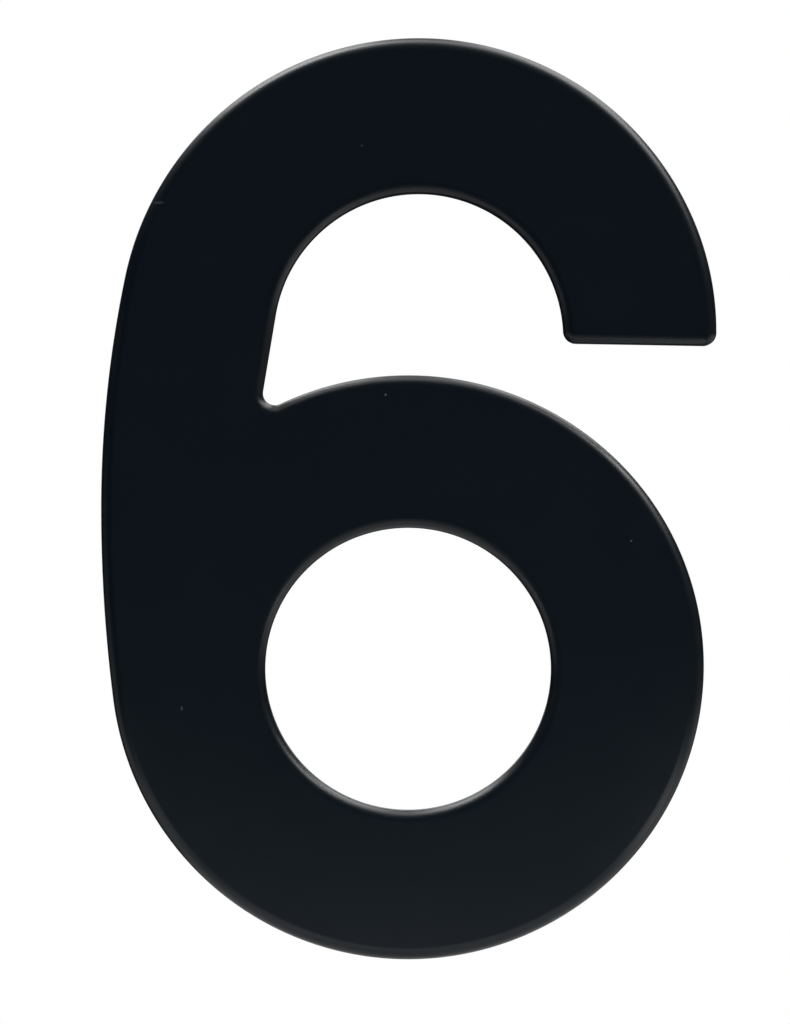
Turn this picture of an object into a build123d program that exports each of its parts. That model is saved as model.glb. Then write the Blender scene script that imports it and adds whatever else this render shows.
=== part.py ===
"""House number 6: one cast numeral with a rounded front edge, held from behind on two studs."""

import math
import os

from build123d import *

os.makedirs("parts", exist_ok=True)

# The numeral stands upright, X to its right and Z up. Its flat back is in the plane Y = 0 and its face
# looks along -Y. The origin is on the back, midway between the numeral's left and right edges and
# midway between its top and bottom.

# Section
thickness = 6.0
face_edge_radius = 2.0  # roll from the face down into the side wall
back_edge_break = 0.35  # bevel round the back

# Bowl, the round lower half
bowl_width = 96.3
bowl_height = 95.1
bowl_side_height = 47.8  # of its rightmost point above its bottom

# Counter, the hole through the bowl
counter_width = 46.6
counter_height = 46.0
stroke_below_counter = 24.25

# Arch, the open upper half
arch_rise = 54.9  # its top above the bowl's top
arch_offset = 1.7  # its middle stands this far to the right of the bowl's
arch_overhang = 2.05  # its right edge beyond the bowl's right edge
arch_stroke = 25.3  # at the top
arch_inner_radius = 23.6
inner_edge_lean = 9.5  # degrees from upright, of the straight edge that runs down to the crotch
crotch_radius = 2.0

# Terminal, the cut end of the arch
terminal_drop = 49.7  # its inner corner below the arch's top
terminal_fall = 0.43  # its outer corner is lower than its inner one
terminal_corner_radius = 2.1
terminal_lead = 0.3  # straight side between the outer corner's rounding and the arch's curve

# Flank, the long left side
flank_overhang = 1.85  # its outermost point beyond the bowl's left edge
flank_drop = 76.6  # its outermost point below the arch's top

# Each quarter turn of the outline is two tangent arcs. The line that both touch where they meet cuts
# the first side of the box round the turn at this share of that side's length. In a circle it is 0.414.
arch_right_turn = 0.195
arch_left_turn = 0.767
bowl_left_turn = 0.213
bowl_right_turn = 0.414  # below and above its rightmost point

# Tapped blind holes in the back for two M4 studs, one above the other
stud_inset = 12.5  # from the numeral's top and bottom
tap_radius = 1.65
tap_mouth_radius = 2.1
tap_floor = 1.5  # metal left between each hole's end and the face

# Outline points and directions, worked out from the sizes above
half_height = (bowl_height + arch_rise) / 2
half_width = (flank_overhang + bowl_width + arch_overhang) / 2
bowl_bottom = Vector(half_width - arch_overhang - bowl_width / 2, -half_height)
bowl_right = bowl_bottom + Vector(bowl_width / 2, bowl_side_height)
bowl_top = bowl_bottom + Vector(0, bowl_height)
counter_center = bowl_bottom + Vector(0, stroke_below_counter + counter_height / 2)
arch_top = bowl_top + Vector(arch_offset, arch_rise)
arch_inner_center = arch_top - Vector(0, arch_stroke + arch_inner_radius)
terminal_inner_height = arch_top.Y - terminal_drop
terminal_outer = Vector(half_width, terminal_inner_height - terminal_fall)
arch_right = terminal_outer + Vector(0, terminal_corner_radius + terminal_lead)
flank_left = Vector(-half_width, arch_top.Y - flank_drop)
inner_edge_angle = 90 - inner_edge_lean
inner_edge_top = arch_inner_center + Vector(0, arch_inner_radius).rotate(Axis.Z, inner_edge_angle)
inner_edge = Axis(inner_edge_top, Vector(0, -1).rotate(Axis.Z, -inner_edge_lean))
terminal_angle = math.degrees(math.asin((terminal_inner_height - arch_inner_center.Y) / arch_inner_radius))


def turn(start, corner, end, share):
    """Draws a quarter turn inside the corner where its two directions cross, and returns its second arc."""
    first_side = corner - start
    second_side = end - corner
    first_lead = first_side.length * share
    second_lead = (first_side.length**2 + second_side.length**2 - 2 * first_side.length * first_lead) / (
        2 * (second_side.length + first_lead)
    )
    leaving = start + first_side.normalized() * first_lead
    arriving = end - second_side.normalized() * second_lead
    middle = leaving + (arriving - leaving) * first_lead / (first_lead + second_lead)
    first_arc = TangentArc(start, middle, tangent=first_side)
    return TangentArc(middle, end, tangent=first_arc % 1)


with BuildPart() as house_number:
    with BuildSketch(Plane.XZ):
        with BuildLine():
            Line(terminal_outer, arch_right)
            turn(arch_right, Vector(arch_right.X, arch_top.Y), arch_top, arch_right_turn)
            turn(arch_top, Vector(flank_left.X, arch_top.Y), flank_left, arch_left_turn)
            turn(flank_left, Vector(flank_left.X, bowl_bottom.Y), bowl_bottom, bowl_left_turn)
            turn(bowl_bottom, Vector(bowl_right.X, bowl_bottom.Y), bowl_right, bowl_right_turn)
            crown = turn(bowl_right, Vector(bowl_right.X, bowl_top.Y), bowl_top, bowl_right_turn)
            shoulder = CenterArc(crown.arc_center, crown.radius, 90, arc_size=inner_edge)
            crotch = shoulder @ 1
            Line(crotch, inner_edge_top)
            inner_arch = CenterArc(
                arch_inner_center,
                arch_inner_radius,
                90 + inner_edge_angle,
                terminal_angle - 90 - inner_edge_angle,
            )
            terminal_inner = inner_arch @ 1
            Line(terminal_inner, terminal_outer)
        make_face()
        with Locations(counter_center):
            Ellipse(counter_width / 2, counter_height / 2, mode=Mode.SUBTRACT)
    extrude(amount=thickness)

    # Corners seen from the front: the crotch and the two ends of the terminal
    for corner, radius in (
        (crotch, crotch_radius),
        (terminal_inner, terminal_corner_radius),
        (terminal_outer, terminal_corner_radius),
    ):
        foot = Vector(corner.X, -thickness / 2, corner.Y)
        upright = house_number.edges().filter_by(Axis.Y).sort_by_distance(foot)[0]
        fillet(upright, radius)

    face, *_, back = house_number.faces().filter_by(Axis.Y).sort_by(Axis.Y)
    back_edges = back.edges()
    fillet(face.edges(), face_edge_radius)
    chamfer(back_edges, back_edge_break)

    for stud_height in (half_height - stud_inset, stud_inset - half_height):
        with Locations(Plane((bowl_bottom.X, 0, stud_height), z_dir=(0, 1, 0))):
            CounterSinkHole(tap_radius, tap_mouth_radius, thickness - tap_floor, counter_sink_angle=90)

house_number.part.label = "house_number"
export_step(house_number.part, "parts/house_number.step")
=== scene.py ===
"""Dresses the house number 6: a cast numeral in satin black powder coat, with two tapped holes."""

import math
from typing import NamedTuple

import bpy
from bpy.props import FloatProperty, FloatVectorProperty, PointerProperty
from mathutils import Matrix, Vector
from mathutils.geometry import tessellate_polygon


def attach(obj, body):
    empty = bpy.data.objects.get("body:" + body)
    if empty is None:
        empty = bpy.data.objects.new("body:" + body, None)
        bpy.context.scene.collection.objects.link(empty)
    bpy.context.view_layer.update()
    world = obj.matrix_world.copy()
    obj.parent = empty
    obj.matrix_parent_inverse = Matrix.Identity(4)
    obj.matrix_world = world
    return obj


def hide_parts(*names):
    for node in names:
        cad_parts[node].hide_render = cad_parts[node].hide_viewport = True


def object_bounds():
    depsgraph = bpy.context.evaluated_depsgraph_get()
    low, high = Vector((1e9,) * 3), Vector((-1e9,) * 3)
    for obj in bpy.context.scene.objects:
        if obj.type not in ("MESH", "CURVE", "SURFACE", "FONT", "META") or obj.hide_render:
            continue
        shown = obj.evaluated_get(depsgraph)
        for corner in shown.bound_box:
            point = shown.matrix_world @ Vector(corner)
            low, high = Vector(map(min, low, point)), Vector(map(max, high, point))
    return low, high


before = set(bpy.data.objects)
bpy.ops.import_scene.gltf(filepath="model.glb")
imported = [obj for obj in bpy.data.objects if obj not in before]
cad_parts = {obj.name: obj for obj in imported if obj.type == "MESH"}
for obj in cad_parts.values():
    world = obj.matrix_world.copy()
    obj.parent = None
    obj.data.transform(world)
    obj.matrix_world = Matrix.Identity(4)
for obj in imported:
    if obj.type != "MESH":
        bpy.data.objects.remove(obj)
cad_low, cad_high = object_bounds()

bl_info = {
    "name": "House Number",
    "version": (1, 0, 0),
    "blender": (4, 5, 0),
    "location": "View3D > Sidebar > House Number",
    "description": "Builds a cast and powder-coated house number and a small studio round it",
    "category": "Add Mesh",
}


def length(name, description, default, **limits):
    """Declares a size in metres."""
    return FloatProperty(
        name=name, description=description, default=default, unit="LENGTH", precision=5, **limits
    )


def number(name, description, default):
    """Declares a plain number."""
    return FloatProperty(name=name, description=description, default=default, precision=4)


def angle(name, description, degrees):
    """Declares an angle, which the interface shows in degrees."""
    return FloatProperty(
        name=name, description=description, default=math.radians(degrees), subtype="ANGLE"
    )


def colour(name, description, default):
    """Declares a linear colour."""
    return FloatVectorProperty(
        name=name, description=description, default=default, size=3, min=0, max=1, subtype="COLOR"
    )


TURN_SHARE = "Share of its first side at which the tangent between its two arcs cuts that side"


class NumeralSizes(bpy.types.PropertyGroup):
    """The numeral's outline and section. Its width, height and thickness are the frame's."""

    width: length("Width", "Between its left and right edges", cad_high.x - cad_low.x)
    height: length("Height", "From its bottom to its top", cad_high.z - cad_low.z)
    thickness: length("Thickness", "From its back to its face", cad_high.y - cad_low.y)
    edge_roll: length("Edge roll", "Radius of the roll from the face into the side wall", 0.002)
    back_bevel: length("Back bevel", "Broken edge round the back", 0.00035)
    bowl_width: length("Bowl width", "Width of the round lower half", 0.0963)
    bowl_height: length("Bowl height", "Height of the round lower half", 0.0951)
    bowl_side_height: length("Bowl side", "Its rightmost point above its bottom", 0.0478)
    counter_width: length("Counter width", "Width of the hole through the bowl", 0.0466)
    counter_height: length("Counter height", "Height of the hole through the bowl", 0.046)
    stroke_below_counter: length("Stroke below counter", "Metal under the hole", 0.02425)
    arch_offset: length("Arch offset", "The arch's middle to the right of the bowl's", 0.0017)
    arch_overhang: length("Arch overhang", "The arch's right edge beyond the bowl's", 0.00205)
    arch_stroke: length("Arch stroke", "Width of the stroke at the top", 0.0253)
    arch_inner_radius: length("Arch inner radius", "Inner curve of the arch", 0.0236)
    inner_edge_lean: angle("Inner edge lean", "How far the edge down to the crotch leans", 9.5)
    crotch_radius: length("Crotch radius", "Where the inner edge meets the bowl", 0.002)
    terminal_drop: length("Terminal drop", "Its inner corner below the arch's top", 0.0497)
    terminal_fall: length("Terminal fall", "Its outer corner below its inner one", 0.00043)
    terminal_corner: length("Terminal corner", "Radius of its two corners", 0.0021)
    terminal_lead: length("Terminal lead", "Straight side above its outer corner", 0.0003)
    flank_drop: length("Flank drop", "Its outermost point below the arch's top", 0.0766)
    arch_right_turn: number("Arch right turn", TURN_SHARE, 0.195)
    arch_left_turn: number("Arch left turn", TURN_SHARE, 0.767)
    bowl_left_turn: number("Bowl left turn", TURN_SHARE, 0.213)
    bowl_right_turn: number("Bowl right turns", TURN_SHARE, 0.414)
    step: length("Step", "Distance between the mesh's points along the outline", 0.0004, min=0.0001)


class StudHoleSizes(bpy.types.PropertyGroup):
    """The two tapped blind holes in the back."""

    inset: length("Inset", "From the numeral's top and bottom", 0.0125)
    crest_radius: length("Crest radius", "Inside the thread's crests", 0.00165)
    root_radius: length("Root radius", "At the thread's roots", 0.002)
    mouth_radius: length("Mouth radius", "Rim of the countersunk mouth", 0.0021)
    floor: length("Floor", "Metal left between each hole's end and the face", 0.0015)
    point_depth: length("Drill point", "Cone at the hole's end", 0.0003)
    pitch: length("Pitch", "From one turn of the thread to the next", 0.0007)
    runout: length("Runout", "Length over which the thread fades at its inner end", 0.0008)


class CoatFinish(bpy.types.PropertyGroup):
    """The powder coat, and the bare metal of the tapped holes."""

    black: colour("Black", "The coat", (0.0015, 0.0043, 0.0073))
    cloudy_black: colour("Cloudy black", "The coat where it clouds", (0.0021, 0.0049, 0.0079))
    rubbed_black: colour("Rubbed black", "The coat where the roll is rubbed", (0.009, 0.011, 0.013))
    dust: colour("Dust", "Specks that lie on the coat", (0.05, 0.055, 0.06))
    metal: colour("Metal", "Bare cast metal in the tapped holes", (0.52, 0.52, 0.53))
    roughness: number("Roughness", "Of the coat on the face and sides", 0.36)
    cloud_size: length("Clouds", "Width of the coat's faint clouds", 0.018)
    gloss_patch_size: length("Gloss patches", "Width of patches with more or less gloss", 0.006)
    rub_patch_size: length("Rubbed patches", "Width of the rubbed patches along the roll", 0.012)
    speck_spacing: length("Speck spacing", "Between specks of dust", 0.011)
    peel_size: length("Orange peel", "Width of the coat's waves", 0.0009)
    peel_height: length("Orange peel height", "Height of the coat's waves", 0.00002)
    grain_size: length("Grain", "Width of the coat's fine grain", 0.00022)
    grain_height: length("Grain height", "Height of the coat's fine grain", 0.000006)
    stain_size: length("Stain", "Width of the stains on the bare metal", 0.0006)


class StudioSettings(bpy.types.PropertyGroup):
    """Camera, background and floor."""

    camera_distance: length("Camera distance", "From the numeral's back to the camera", 1.4)
    camera_x: length("Camera x", "Place of the camera's axis", -0.00224)
    camera_z: length("Camera z", "Place of the camera's axis", -0.00216)
    view_height: length("View height", "What the picture takes in at the side walls", 0.16673)
    side_wall_depth: length("Wall depth", "From the back to where the outline is widest", 0.004)
    floor_drop: length("Floor drop", "The floor below the numeral's middle", 0.092)
    floor_radius: length("Floor radius", "Size of the round floor", 0.075)
    floor_lip: length("Floor lip", "Radius of the floor's rounded rim", 0.004)
    floor_colour: colour("Floor", "Plain pale floor", (0.5, 0.5, 0.5))
    surround: colour("Surround", "Dim light from every side", (0.001, 0.001, 0.001))


def turn(start, corner, end, share):
    """Two tangent arcs that turn inside a corner, each as centre, radius, first angle and sweep.

    The line that touches both where they meet cuts the side from start to corner at that share.
    """
    first_side = corner - start
    second_side = end - corner
    first_lead = first_side.length * share
    squares = first_side.length**2 + second_side.length**2
    second_lead = (squares - 2 * first_side.length * first_lead) / (
        2 * (second_side.length + first_lead)
    )
    leaving = start + first_side.normalized() * first_lead
    arriving = end - second_side.normalized() * second_lead
    middle = leaving.lerp(arriving, first_lead / (first_lead + second_lead))
    heading = (arriving - leaving).normalized()
    return [arc_from(start, first_side.normalized(), middle), arc_from(middle, heading, end)]


def arc_from(start, heading, end):
    """The arc that leaves start in a direction and ends at end."""
    chord = end - start
    left = Vector((-heading.y, heading.x))
    radius = chord.length_squared / (2 * chord.dot(left))
    centre = start + left * radius
    return arc_between(centre, abs(radius), start, end, radius > 0)


def arc_between(centre, radius, start, end, counter_clockwise):
    """The arc round centre from the direction of start to that of end."""
    first = math.atan2(start.y - centre.y, start.x - centre.x)
    last = math.atan2(end.y - centre.y, end.x - centre.x)
    sweep = (last - first) % math.tau
    if not counter_clockwise:
        sweep -= math.tau
    return centre, radius, first, sweep


def bowl_middle(sizes):
    """How far to the right the bowl's middle is. Every hole is centred on it."""
    return sizes.width / 2 - sizes.arch_overhang - sizes.bowl_width / 2


def outline_edges(sizes):
    """The outline as arcs and straight runs, counter-clockwise from the terminal's outer corner."""
    half_width = sizes.width / 2
    half_height = sizes.height / 2
    bowl_bottom = Vector((bowl_middle(sizes), -half_height))
    bowl_right = bowl_bottom + Vector((sizes.bowl_width / 2, sizes.bowl_side_height))
    bowl_top = bowl_bottom + Vector((0, sizes.bowl_height))
    arch_top = Vector((bowl_top.x + sizes.arch_offset, half_height))
    inner_centre = arch_top - Vector((0, sizes.arch_stroke + sizes.arch_inner_radius))
    inner_height = arch_top.y - sizes.terminal_drop
    corner = sizes.terminal_corner
    outer_end = Vector((half_width, inner_height - sizes.terminal_fall))
    arch_right = outer_end + Vector((0, corner + sizes.terminal_lead))
    flank_left = Vector((-half_width, arch_top.y - sizes.flank_drop))

    # The terminal's end face, its two rounded corners, and the direction into the metal behind it
    reach = math.sqrt(sizes.arch_inner_radius**2 - (inner_height - inner_centre.y) ** 2)
    inner_end = Vector((inner_centre.x + reach, inner_height))
    along = (outer_end - inner_end).normalized()
    inward = Vector((-along.y, along.x))
    outer_centre = Vector((half_width - corner, 0))
    across = outer_centre.x - inner_end.x
    outer_centre.y = inner_end.y + (corner - inward.x * across) / inward.y
    inner_corner = circle_meets_line(
        inner_centre, sizes.arch_inner_radius + corner, inner_end + inward * corner, along
    )

    # The crotch, rounded between the bowl's top arc and the inner edge
    crown_corner = Vector((bowl_right.x, bowl_top.y))
    crown_arcs = turn(bowl_right, crown_corner, bowl_top, sizes.bowl_right_turn)
    crown_centre, crown_radius = crown_arcs[1][:2]
    lean = sizes.inner_edge_lean
    edge_top = inner_centre + Vector((-math.cos(lean), math.sin(lean))) * sizes.arch_inner_radius
    edge_down = Vector((-math.sin(lean), -math.cos(lean)))
    into_opening = Vector((math.cos(lean), -math.sin(lean)))
    crotch = circle_meets_line(
        crown_centre,
        crown_radius + sizes.crotch_radius,
        edge_top + into_opening * sizes.crotch_radius,
        -edge_down,
    )
    crotch_start = crown_centre + (crotch - crown_centre).normalized() * crown_radius
    crotch_end = crotch - into_opening * sizes.crotch_radius
    arch_end = inner_centre + (inner_corner - inner_centre).normalized() * sizes.arch_inner_radius

    right = Vector((1, 0))
    top_right = Vector((arch_right.x, arch_top.y))
    top_left = Vector((flank_left.x, arch_top.y))
    bottom_left = Vector((flank_left.x, bowl_bottom.y))
    bottom_right = Vector((bowl_right.x, bowl_bottom.y))
    return [
        arc_between(outer_centre, corner, outer_centre - inward, outer_centre + right, True),
        (outer_centre + right * corner, arch_right),
        *turn(arch_right, top_right, arch_top, sizes.arch_right_turn),
        *turn(arch_top, top_left, flank_left, sizes.arch_left_turn),
        *turn(flank_left, bottom_left, bowl_bottom, sizes.bowl_left_turn),
        *turn(bowl_bottom, bottom_right, bowl_right, sizes.bowl_right_turn),
        *crown_arcs,
        arc_between(crown_centre, crown_radius, bowl_top, crotch_start, True),
        arc_between(crotch, sizes.crotch_radius, crotch_start, crotch_end, False),
        (crotch_end, edge_top),
        arc_between(inner_centre, sizes.arch_inner_radius, edge_top, arch_end, False),
        arc_between(inner_corner, corner, arch_end, inner_corner - inward, True),
        (inner_corner - inward * corner, outer_centre - inward * corner),
    ]


def circle_meets_line(centre, radius, point, direction):
    """Where a line meets a circle: of the two places, the one nearer to the line's point."""
    offset = point - centre
    along = offset.dot(direction)
    root = math.sqrt(along**2 - offset.length_squared + radius**2)
    near = point + direction * (-along - root)
    far = point + direction * (-along + root)
    return min((near, far), key=lambda place: (place - point).length)


def walk(edges, step):
    """Points along the edges, each with the direction out of the metal."""
    widest_turn = math.radians(4)
    straight_step = step * 4
    points = []
    for edge in edges:
        if len(edge) == 2:
            start, end = edge
            heading = (end - start).normalized()
            out = Vector((heading.y, -heading.x))
            count = max(1, math.ceil((end - start).length / straight_step))
            points += [(start.lerp(end, i / count), out) for i in range(count)]
            continue
        centre, radius, first, sweep = edge
        by_length = math.ceil(abs(sweep) * radius / step)
        count = max(2, by_length, math.ceil(abs(sweep) / widest_turn))
        for i in range(count):
            spoke = first + sweep * i / count
            out = Vector((math.cos(spoke), math.sin(spoke)))
            points.append((centre + out * radius, out if sweep > 0 else -out))
    return points


def counter_points(sizes):
    """Points round the oval hole, clockwise, each with the direction out of the metal."""
    half_wide = sizes.counter_width / 2
    half_high = sizes.counter_height / 2
    centre_height = sizes.stroke_below_counter + half_high - sizes.height / 2
    centre = Vector((bowl_middle(sizes), centre_height))
    count = math.ceil(math.pi * (half_wide + half_high) / sizes.step)
    points = []
    for i in range(count):
        spoke = -math.tau * i / count
        across = Vector((math.cos(spoke), math.sin(spoke)))
        out = -Vector((across.x / half_wide, across.y / half_high)).normalized()
        points.append((centre + Vector((across.x * half_wide, across.y * half_high)), out))
    return points


class Shell:
    """Gathers vertices and faces, with the direction in which each corner of a face is shaded."""

    def __init__(self):
        self.vertices = []
        self.faces = []
        self.normals = []
        self.bare = []

    def ring(self, places):
        """Adds a closed ring of vertices and returns their numbers."""
        first = len(self.vertices)
        self.vertices += places
        return list(range(first, first + len(places)))

    def strip(self, near, far, near_normals, far_normals, bare=False):
        """Joins a ring to the next one, which is nearer the face or deeper in a hole.

        Bare faces are those without the coat.
        """
        for i in range(len(near)):
            j = (i + 1) % len(near)
            self.faces.append((near[i], near[j], far[j], far[i]))
            self.normals.append((near_normals[i], near_normals[j], far_normals[j], far_normals[i]))
            self.bare.append(bare)

    def fill(self, rings, normal):
        """Closes the flat area between the first ring and the others."""
        no_area = 1e-16
        numbers = [n for ring in rings for n in ring]
        loops = [[self.vertices[n] for n in ring] for ring in rings]
        flat = [[Vector((place.x, place.z, 0)) for place in loop] for loop in loops]
        for a, b, c in tessellate_polygon(flat):
            corners = [numbers[a], numbers[b], numbers[c]]
            p, q, r = (self.vertices[n] for n in corners)
            across = (q - p).cross(r - p)
            if across.length < no_area:
                continue
            if across.dot(normal) < 0:
                corners.reverse()
            self.faces.append(tuple(corners))
            self.normals.append((normal,) * 3)
            self.bare.append(False)

    def mesh(self, name):
        """Makes the mesh, shaded by the gathered directions."""
        mesh = bpy.data.meshes.new(name)
        mesh.from_pydata([tuple(v) for v in self.vertices], [], self.faces)
        mesh.polygons.foreach_set("use_smooth", [True] * len(self.faces))
        mesh.polygons.foreach_set("material_index", [int(bare) for bare in self.bare])
        mesh.update()
        mesh.normals_split_custom_set([tuple(n) for face in self.normals for n in face])
        return mesh


def add_wall(shell, points, sizes):
    """Adds bevel, side wall and roll along an outline, and returns its back and face rings."""
    roll_steps = 14
    out = [Vector((n.x, 0, n.y)) for _, n in points]
    back = Vector((0, 1, 0))
    front = -back

    def level(inset, depth):
        places = [Vector((p.x, -depth, p.y)) for p, _ in points]
        return shell.ring([place - n * inset for place, n in zip(places, out)])

    def tilted(towards, amount):
        return [(n * math.cos(amount) + towards * math.sin(amount)).normalized() for n in out]

    back_ring = level(sizes.back_bevel, 0)
    wall_back = level(0, sizes.back_bevel)
    bevel_normals = tilted(back, math.radians(45))
    shell.strip(back_ring, wall_back, bevel_normals, bevel_normals)
    straight = sizes.thickness - sizes.edge_roll
    ring = level(0, straight)
    shell.strip(wall_back, ring, out, out)
    normals = out
    for i in range(1, roll_steps + 1):
        roll = math.radians(90) * i / roll_steps
        inset = sizes.edge_roll * (1 - math.cos(roll))
        next_ring = level(inset, straight + sizes.edge_roll * math.sin(roll))
        next_normals = tilted(front, roll)
        shell.strip(ring, next_ring, normals, next_normals)
        ring, normals = next_ring, next_normals
    return back_ring, ring


def thread_radius(holes, depth, around, full_depth):
    """The wall's distance from the hole's axis: a countersunk mouth, then a fading thread."""
    flank_slope, crest_flat = 1.6, 0.3
    turns = (depth / holes.pitch + around / math.tau) % 1
    rise = 1 - abs(2 * turns - 1)
    tooth = min(max(flank_slope * rise - crest_flat, 0), 1)
    fade = min(max((full_depth - depth) / holes.runout, 0), 1)
    cut = holes.crest_radius + (holes.root_radius - holes.crest_radius) * tooth * fade
    return max(cut, holes.mouth_radius - depth)


def add_stud_hole(shell, x, z, sizes, holes):
    """Adds one tapped blind hole and returns the ring of its mouth."""
    around = 56
    rings_per_turn = 14
    full_depth = sizes.thickness - holes.floor
    levels = math.ceil(full_depth / holes.pitch * rings_per_turn)
    spokes = [-math.tau * i / around for i in range(around)]

    def place(depth, spoke):
        radius = thread_radius(holes, depth, spoke, full_depth)
        return Vector((x + radius * math.cos(spoke), -depth, z + radius * math.sin(spoke)))

    def facing(depth, spoke):
        nudge, spoke_nudge = 2e-5, 0.02
        round_it = place(depth, spoke - spoke_nudge) - place(depth, spoke + spoke_nudge)
        deeper, shallower = min(depth + nudge, full_depth), max(depth - nudge, 0)
        down_it = place(deeper, spoke) - place(shallower, spoke)
        return round_it.cross(down_it).normalized()

    mouth = ring = shell.ring([place(0, s) for s in spokes])
    normals = [facing(0, s) for s in spokes]
    for i in range(1, levels + 1):
        depth = full_depth * i / levels
        next_ring = shell.ring([place(depth, s) for s in spokes])
        next_normals = [facing(depth, s) for s in spokes]
        shell.strip(ring, next_ring, normals, next_normals, bare=True)
        ring, normals = next_ring, next_normals
    tip = shell.ring([Vector((x, -full_depth - holes.point_depth, z))])[0]
    for i in range(around):
        j = (i + 1) % around
        corners = (ring[i], ring[j], tip)
        p, q, r = (shell.vertices[n] for n in corners)
        shell.faces.append(corners)
        shell.normals.append(((q - p).cross(r - p).normalized(),) * 3)
        shell.bare.append(True)
    return mouth


def new_material(name):
    """A material with a Principled shader, and its nodes and links to add to."""
    material = bpy.data.materials.new(name)
    material.use_nodes = True
    nodes = material.node_tree.nodes
    return material, nodes, material.node_tree.links, nodes["Principled BSDF"]


def noise(nodes, links, place, size, detail):
    """Noise with features about that wide, in metres."""
    node = nodes.new("ShaderNodeTexNoise")
    node.inputs["Scale"].default_value = 1 / size
    node.inputs["Detail"].default_value = detail
    links.new(place, node.inputs["Vector"])
    return node.outputs["Fac"]


def remap(nodes, links, value, low, high, new_low, new_high):
    """Stretches a value from one range to another, and stays inside it."""
    node = nodes.new("ShaderNodeMapRange")
    node.inputs["From Min"].default_value = low
    node.inputs["From Max"].default_value = high
    node.inputs["To Min"].default_value = new_low
    node.inputs["To Max"].default_value = new_high
    links.new(value, node.inputs["Value"])
    return node.outputs["Result"]


def mix_colours(nodes, links, factor, first, second):
    """Mixes two colours, either of which may be another node's."""
    node = nodes.new("ShaderNodeMix")
    node.data_type = "RGBA"
    links.new(factor, node.inputs["Factor"])
    for socket, value in ((node.inputs["A"], first), (node.inputs["B"], second)):
        if isinstance(value, bpy.types.NodeSocket):
            links.new(value, socket)
        else:
            socket.default_value = (*value, 1)
    return node.outputs["Result"]


def math_node(nodes, links, operation, first, second):
    """One sum on two values."""
    node = nodes.new("ShaderNodeMath")
    node.operation = operation
    for socket, value in zip(node.inputs, (first, second)):
        if isinstance(value, bpy.types.NodeSocket):
            links.new(value, socket)
        else:
            socket.default_value = value
    return node.outputs["Value"]


def bump(nodes, links, height, distance, strength, under=None):
    """A bump of that height and strength, laid over another one if there is one under it."""
    node = nodes.new("ShaderNodeBump")
    node.inputs["Strength"].default_value = strength
    node.inputs["Distance"].default_value = distance
    links.new(height, node.inputs["Height"])
    if under:
        links.new(under, node.inputs["Normal"])
    return node.outputs["Normal"]


def powder_coat(finish):
    """Satin black powder coat with orange peel, grain, faint clouds, rubbing, dust and marks."""
    material, nodes, links, shader = new_material("satin_black_coat")
    place = nodes.new("ShaderNodeTexCoord").outputs["Object"]

    # Colour
    clouds = noise(nodes, links, place, finish.cloud_size, 4)
    coat = mix_colours(nodes, links, clouds, finish.black, finish.cloudy_black)
    rubbed = rubbed_edge(nodes, links, place, finish.rub_patch_size)
    coat = mix_colours(nodes, links, rubbed, coat, finish.rubbed_black)
    specks = nodes.new("ShaderNodeTexVoronoi")
    specks.inputs["Scale"].default_value = 1 / finish.speck_spacing
    links.new(place, specks.inputs["Vector"])
    speck_core, speck_rim = 0.012, 0.022  # in speck spacings
    dust = remap(nodes, links, specks.outputs["Distance"], speck_core, speck_rim, 1, 0)
    coat = mix_colours(nodes, links, dust, coat, finish.dust)
    for mark in MARKS:
        seen = oval_mark(nodes, links, place, mark)
        coat = mix_colours(nodes, links, seen, coat, finish.dust)
    links.new(coat, shader.inputs["Base Color"])

    # Gloss
    patches = noise(nodes, links, place, finish.gloss_patch_size, 3)
    spread, most_polish = 0.02, 0.05
    glossy, matt = finish.roughness - spread, finish.roughness + spread
    roughness = remap(nodes, links, patches, 0.3, 0.7, glossy, matt)
    polish = math_node(nodes, links, "MULTIPLY", rubbed, most_polish)
    links.new(math_node(nodes, links, "SUBTRACT", roughness, polish), shader.inputs["Roughness"])
    shader.inputs["IOR"].default_value = 1.5

    # Texture
    waves = noise(nodes, links, place, finish.peel_size, 1)
    grain = noise(nodes, links, place, finish.grain_size, 2)
    peel = bump(nodes, links, waves, finish.peel_height, 0.25)
    textured = bump(nodes, links, grain, finish.grain_height, 0.3, peel)
    links.new(textured, shader.inputs["Normal"])
    return material


class Mark(NamedTuple):
    """A small oval mark on the coat, with its place and its reach from there in metres."""

    middle: tuple
    reach: tuple
    strength: float


MARKS = (
    # A scuff across the roll at the upper left
    Mark((-0.0407, -0.0055, 0.04815), (0.0012, 0.0015, 0.00028), 0.55),
    # A fleck on the face at the lower left
    Mark((-0.0369, -0.006, -0.0341), (0.00026, 0.0005, 0.0005), 0.5),
)


def oval_mark(nodes, links, place, mark):
    """Where a mark lies: strongest round its middle and gone at its rim."""
    for operation, value in (("SUBTRACT", mark.middle), ("DIVIDE", mark.reach)):
        node = nodes.new("ShaderNodeVectorMath")
        node.operation = operation
        links.new(place, node.inputs[0])
        node.inputs[1].default_value = value
        place = node.outputs["Vector"]
    distance = nodes.new("ShaderNodeVectorMath")
    distance.operation = "LENGTH"
    links.new(place, distance.inputs[0])
    return remap(nodes, links, distance.outputs["Value"], 0.4, 1, mark.strength, 0)


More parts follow.
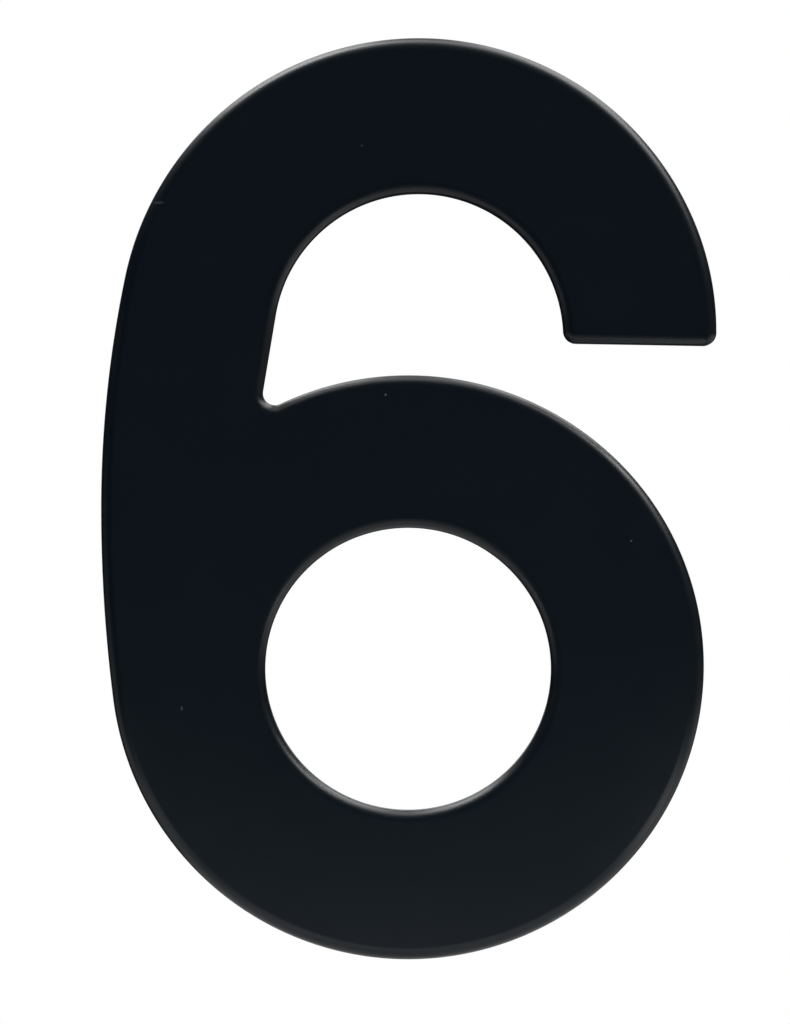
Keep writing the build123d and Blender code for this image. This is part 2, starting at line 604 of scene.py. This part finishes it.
def rubbed_edge(nodes, links, place, patch_size):
    """Where the rolled edge is worn a little smoother and greyer, in patches."""
    facing = nodes.new("ShaderNodeSeparateXYZ")
    links.new(nodes.new("ShaderNodeTexCoord").outputs["Normal"], facing.inputs["Vector"])

    # The roll's tilt goes from 0 at the side wall to 1 at the face
    tilt = math_node(nodes, links, "MULTIPLY", facing.outputs["Y"], -1)
    rising = remap(nodes, links, tilt, 0.35, 0.6, 0, 1)
    falling = remap(nodes, links, tilt, 0.8, 0.97, 1, 0)
    edge = math_node(nodes, links, "MULTIPLY", rising, falling)
    patchy = remap(nodes, links, noise(nodes, links, place, patch_size, 5), 0.5, 0.75, 0, 1)
    return math_node(nodes, links, "MULTIPLY", edge, patchy)


def tapped_metal(finish):
    """Bare cast metal, cut by the tap."""
    material, nodes, links, shader = new_material("tapped_metal")
    place = nodes.new("ShaderNodeTexCoord").outputs["Object"]
    stain = noise(nodes, links, place, finish.stain_size, 4)
    darkening = 0.6
    darker = tuple(c * darkening for c in finish.metal)
    links.new(mix_colours(nodes, links, stain, finish.metal, darker), shader.inputs["Base Color"])
    links.new(remap(nodes, links, stain, 0.3, 0.7, 0.25, 0.45), shader.inputs["Roughness"])
    shader.inputs["Metallic"].default_value = 1.0
    return material


def floor_paint(settings):
    """Matt pale paint with a trace of mottling."""
    material, nodes, links, shader = new_material("pale_floor")
    place = nodes.new("ShaderNodeTexCoord").outputs["Object"]
    darkening, mottle_size = 0.97, 0.05
    darker = tuple(c * darkening for c in settings.floor_colour)
    mottle = noise(nodes, links, place, mottle_size, 3)
    paint = mix_colours(nodes, links, mottle, settings.floor_colour, darker)
    links.new(paint, shader.inputs["Base Color"])
    shader.inputs["Roughness"].default_value = 0.9
    return material


class HOUSENUMBER_OT_numeral(bpy.types.Operator):
    """Cast numeral 6 with a rolled edge and two tapped holes in its back"""

    bl_idname = "housenumber.numeral"
    bl_label = "Numeral"

    def execute(self, context):
        sizes = context.scene.numeral_sizes
        holes = context.scene.stud_hole_sizes
        finish = context.scene.coat_finish
        shell = Shell()
        outer_back, outer_face = add_wall(shell, walk(outline_edges(sizes), sizes.step), sizes)
        counter_back, counter_face = add_wall(shell, counter_points(sizes), sizes)
        stud_x = bowl_middle(sizes)
        stud_z = sizes.height / 2 - holes.inset
        mouths = [add_stud_hole(shell, stud_x, z, sizes, holes) for z in (stud_z, -stud_z)]
        shell.fill([outer_face, counter_face], Vector((0, -1, 0)))
        shell.fill([outer_back, counter_back, *mouths], Vector((0, 1, 0)))
        numeral = bpy.data.objects.new("cast_numeral", shell.mesh("cast_numeral"))
        context.scene.collection.objects.link(numeral)
        numeral.data.materials.append(powder_coat(finish))
        numeral.data.materials.append(tapped_metal(finish))
        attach(numeral, "root")
        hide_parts("house_number")
        return {"FINISHED"}


class Softbox(NamedTuple):
    """A softbox that faces a target.

    It stands tilted from the camera's side of the target, and turned round it from its right. Its
    width and height are how large it looks from there, and its brightness is how bright. All angles
    are in degrees.
    """

    name: str
    tilt: float
    bearing: float
    wide: float
    high: float
    brightness: float
    target: tuple = (0, 0, 0)
    away: float = 1.0
    mirrored: bool = True


SOFTBOXES = (
    Softbox("right_near", 74, 42, 26, 20, 2.4),
    Softbox("right", 91, 53, 34, 22, 6.8),
    Softbox("right_back", 120, 64, 28, 34, 3.8),
    Softbox("left_near", 76, 115, 26, 18, 0.5),
    Softbox("left", 96, 113, 28, 22, 10.2),
    Softbox("left_back", 124, 114, 28, 28, 4.0),
    Softbox("top_near", 76, 88, 26, 18, 1.0),
    Softbox("top", 95, 86, 28, 22, 3.4),
    Softbox("low_right", 85, 325, 50, 50, 0.55),
    Softbox("low_right_back", 118, 322, 50, 26, 0.6),
    Softbox("low_left", 90, 212, 50, 50, 0.45),
    Softbox("low_right_front", 45, 322, 30, 50, 1.2, target=(0.038, 0, -0.045), away=0.05),
    Softbox("low_left_front", 45, 220, 30, 50, 0.6, target=(-0.038, 0, -0.045), away=0.05),
    Softbox("low_front", 12, 270, 60, 12, 0.66, target=(0, 0, -0.075), away=0.13),
    Softbox("fill", 5, 90, 50, 50, 3.3, away=1.5, mirrored=False),
)


def add_softbox(box):
    """Adds a softbox. The camera doesn't see it."""
    tilt, bearing = math.radians(box.tilt), math.radians(box.bearing)
    side = Vector((math.cos(bearing), 0, math.sin(bearing)))
    ahead = Vector((0, 1, 0))
    out = side * math.sin(tilt) - ahead * math.cos(tilt)
    back = side * math.cos(tilt) + ahead * math.sin(tilt)
    data = bpy.data.lights.new(box.name, "AREA")
    data.shape = "RECTANGLE"
    data.size = 2 * box.away * math.tan(math.radians(box.wide) / 2)
    data.size_y = 2 * box.away * math.tan(math.radians(box.high) / 2)
    data.energy = box.brightness * data.size * data.size_y * math.pi
    lamp = bpy.data.objects.new(box.name, data)
    facing = Matrix((back.cross(out), back, out)).transposed()
    lamp.matrix_world = Matrix.LocRotScale(Vector(box.target) + out * box.away, facing, None)
    lamp.visible_camera = False
    lamp.visible_glossy = box.mirrored
    bpy.context.scene.collection.objects.link(lamp)


def add_background(scene, surround):
    """A world that is white to the camera and dim to the rest.

    Mirrors and glass see white too, but only straight behind the numeral and above the horizon.
    """
    world = bpy.data.worlds.new("studio")
    scene.world = world
    world.use_nodes = True
    nodes, links = world.node_tree.nodes, world.node_tree.links
    background = nodes["Background"]
    path = nodes.new("ShaderNodeLightPath")
    direction = nodes.new("ShaderNodeTexCoord").outputs["Generated"]
    parts = nodes.new("ShaderNodeSeparateXYZ")
    links.new(direction, parts.inputs["Vector"])
    behind = remap(nodes, links, parts.outputs["Y"], 0.85, 0.95, 0, 1)
    above = remap(nodes, links, parts.outputs["Z"], 0.04, 0.16, 0, 1)
    card = math_node(nodes, links, "MULTIPLY", behind, above)
    glossy, transmitted = path.outputs["Is Glossy Ray"], path.outputs["Is Transmission Ray"]
    mirrored = math_node(nodes, links, "MAXIMUM", glossy, transmitted)
    in_mirrors = math_node(nodes, links, "MULTIPLY", mirrored, card)
    seen = math_node(nodes, links, "MAXIMUM", path.outputs["Is Camera Ray"], in_mirrors)
    white = (1, 1, 1)
    links.new(mix_colours(nodes, links, seen, surround, white), background.inputs["Color"])
    background.inputs["Strength"].default_value = 1.0


def add_floor(settings):
    """A round floor with a softly rounded rim."""
    around = 96
    lip_steps = 6
    lip = settings.floor_lip
    spokes = [math.tau * i / around for i in range(around)]
    vertices = [(0, 0, 0)]
    for step in range(lip_steps + 1):
        climb = math.radians(90) * step / lip_steps
        radius = settings.floor_radius - lip + lip * math.cos(climb)
        height = lip * math.sin(climb) - lip
        vertices += [(radius * math.cos(a), radius * math.sin(a), height) for a in spokes]
    faces = []
    for ring in range(lip_steps):
        for i in range(around):
            j = (i + 1) % around
            low, high = 1 + ring * around, 1 + (ring + 1) * around
            faces.append((low + i, low + j, high + j, high + i))
    last = 1 + lip_steps * around
    faces += [(last + i, last + (i + 1) % around, 0) for i in range(around)]
    mesh = bpy.data.meshes.new("floor")
    mesh.from_pydata(vertices, [], faces)
    mesh.polygons.foreach_set("use_smooth", [True] * len(faces))
    mesh.update()
    floor = bpy.data.objects.new("floor", mesh)
    floor.location = (0, 0, -settings.floor_drop)
    bpy.context.scene.collection.objects.link(floor)
    mesh.materials.append(floor_paint(settings))


class HOUSENUMBER_OT_studio(bpy.types.Operator):
    """Pale floor, white background, softboxes and camera"""

    bl_idname = "housenumber.studio"
    bl_label = "Studio"

    def execute(self, context):
        settings = context.scene.studio_settings
        scene = context.scene
        scene.view_settings.view_transform = "Standard"
        add_background(scene, settings.surround)
        add_floor(settings)
        for box in SOFTBOXES:
            add_softbox(box)

        camera_data = bpy.data.cameras.new("camera")
        camera = bpy.data.objects.new("camera", camera_data)
        camera.location = (settings.camera_x, -settings.camera_distance, settings.camera_z)
        camera.rotation_euler = (math.radians(90), 0, 0)

        # The picture is upright, so the sensor's width spans its height
        away = settings.camera_distance - settings.side_wall_depth
        camera_data.lens = camera_data.sensor_width * away / settings.view_height
        camera_data.clip_start = 0.05
        camera_data.clip_end = 20
        scene.collection.objects.link(camera)
        scene.camera = camera
        return {"FINISHED"}


class HOUSENUMBER_PT_panel(bpy.types.Panel):
    """Lists the house number's sizes, finish and steps"""

    bl_idname = "HOUSENUMBER_PT_panel"
    bl_label = "House Number"
    bl_space_type = "VIEW_3D"
    bl_region_type = "UI"
    bl_category = "House Number"

    def draw(self, context):
        for operator, groups in (
            (HOUSENUMBER_OT_numeral, ("numeral_sizes", "stud_hole_sizes", "coat_finish")),
            (HOUSENUMBER_OT_studio, ("studio_settings",)),
        ):
            box = self.layout.box()
            box.operator(operator.bl_idname)
            for group in groups:
                settings = getattr(context.scene, group)
                for name in settings.__annotations__:
                    box.prop(settings, name)


CLASSES = (
    NumeralSizes,
    StudHoleSizes,
    CoatFinish,
    StudioSettings,
    HOUSENUMBER_OT_numeral,
    HOUSENUMBER_OT_studio,
    HOUSENUMBER_PT_panel,
)


def register():
    for cls in CLASSES:
        bpy.utils.register_class(cls)
    bpy.types.Scene.numeral_sizes = PointerProperty(type=NumeralSizes)
    bpy.types.Scene.stud_hole_sizes = PointerProperty(type=StudHoleSizes)
    bpy.types.Scene.coat_finish = PointerProperty(type=CoatFinish)
    bpy.types.Scene.studio_settings = PointerProperty(type=StudioSettings)


def unregister():
    del bpy.types.Scene.studio_settings
    del bpy.types.Scene.coat_finish
    del bpy.types.Scene.stud_hole_sizes
    del bpy.types.Scene.numeral_sizes
    for cls in reversed(CLASSES):
        bpy.utils.unregister_class(cls)


def main():
    """Builds the numeral and the studio."""
    register()
    bpy.ops.housenumber.numeral()
    bpy.ops.housenumber.studio()


if __name__ == "__main__":
    main()
